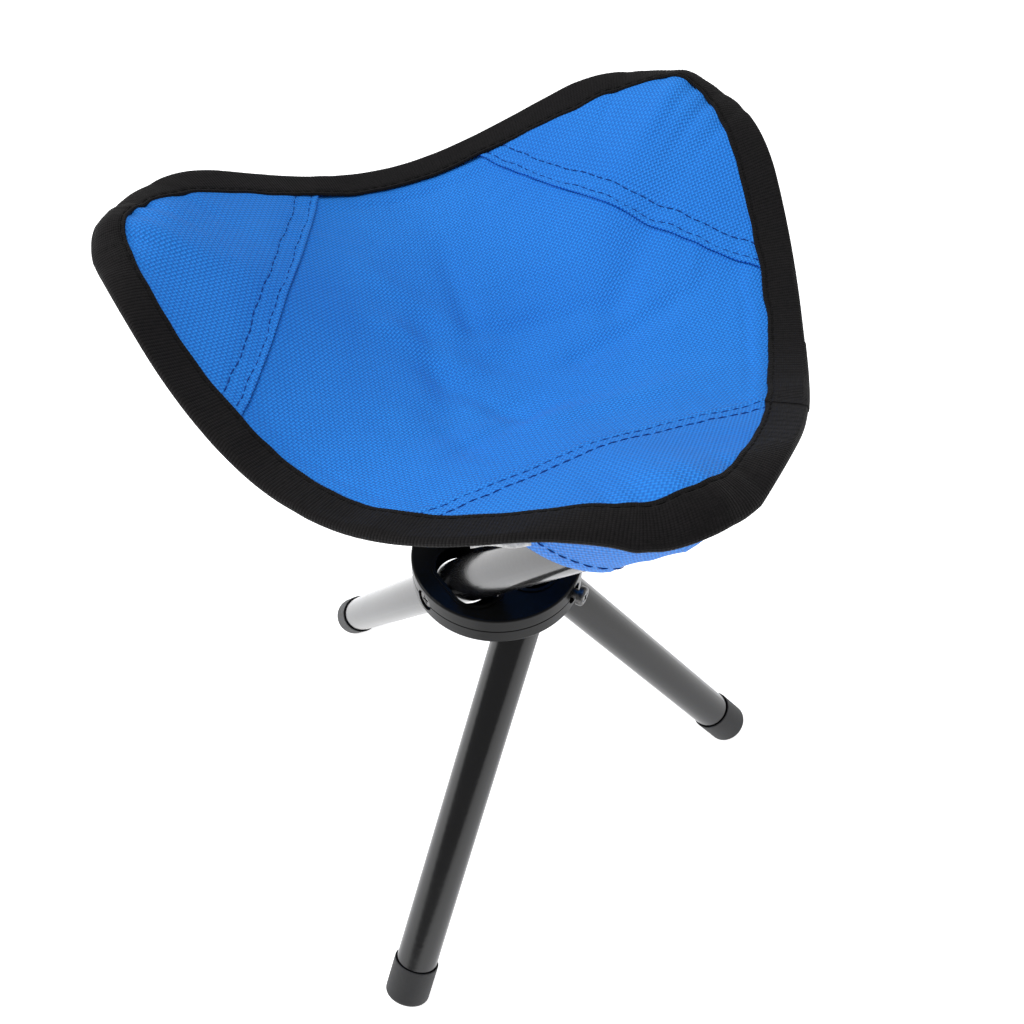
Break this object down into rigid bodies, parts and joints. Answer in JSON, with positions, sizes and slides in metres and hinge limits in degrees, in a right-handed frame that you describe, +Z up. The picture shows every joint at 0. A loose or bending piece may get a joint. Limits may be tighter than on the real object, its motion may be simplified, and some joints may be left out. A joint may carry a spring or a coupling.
{
  "type": "folding camp stool",
  "caption": "Small folding tripod stool: crossing steel tubes pivot in a round hub and carry a sagging triangular cloth seat with bound edges and corner pockets.",
  "frame": {"origin": "on the floor, straight below the centre of the hub, with the legs open", "axes": "+Z up along the axis of the hub; +X towards the foot of leg b; the pivot of leg b lies on +Y from the hub axis"},
  "size_m": [0.2205, 0.1992, 0.279],
  "materials": {
    "hub_plastic": "satin black moulded plastic",
    "tube_paint": "gloss black paint",
    "cap_rubber": "matt black rubber",
    "plug_plastic": "matt black plastic",
    "screw_steel": "blackened steel",
    "sling_cloth": "woven blue cloth with a slight sheen",
    "binding_tape": "ribbed black woven tape",
    "label_tape": "pale satin tape"
  },
  "bodies": {
    "hub": {"hub_upper": "hub_plastic", "hub_lower": "hub_plastic", "pivot_screw_a": "screw_steel", "pivot_screw_b": "screw_steel", "pivot_screw_c": "screw_steel", "seat_panel": "sling_cloth", "edge_binding": "binding_tape", "care_label": "label_tape", "corner_patch_a": "sling_cloth", "corner_patch_b": "sling_cloth", "corner_patch_c": "sling_cloth", "pocket_a": "sling_cloth", "pocket_b": "sling_cloth", "pocket_c": "sling_cloth"},
    "leg_a": {"leg_tube_a": "tube_paint", "foot_cap_a": "cap_rubber", "top_plug_a": "plug_plastic"},
    "leg_b": {"leg_tube_b": "tube_paint", "foot_cap_b": "cap_rubber", "top_plug_b": "plug_plastic"},
    "leg_c": {"leg_tube_c": "tube_paint", "foot_cap_c": "cap_rubber", "top_plug_c": "plug_plastic"}
  },
  "joints": [
    {"name": "leg_a_fold", "type": "hinge", "parent": "hub", "child": "leg_a", "pos_m": [0.01212, -0.007, 0.14675], "axis": [0.866, -0.5, 0], "range_deg": [0, 37], "deforming": ["corner_patch_a", "pocket_a", "seat_panel", "edge_binding", "care_label"]},
    {"name": "leg_b_fold", "type": "hinge", "parent": "hub", "child": "leg_b", "pos_m": [0, 0.014, 0.14675], "axis": [0, 1, 0], "range_deg": [0, 37], "deforming": ["corner_patch_b", "pocket_b"]},
    {"name": "leg_c_fold", "type": "hinge", "parent": "hub", "child": "leg_c", "pos_m": [-0.01212, -0.007, 0.14675], "axis": [-0.866, -0.5, 0], "range_deg": [0, 37], "deforming": ["corner_patch_c", "pocket_c"]}
  ],
  "couplings": [
    {"joint": "leg_b_fold", "follows": "leg_a_fold", "ratio": 1},
    {"joint": "leg_c_fold", "follows": "leg_a_fold", "ratio": 1}
  ]
}
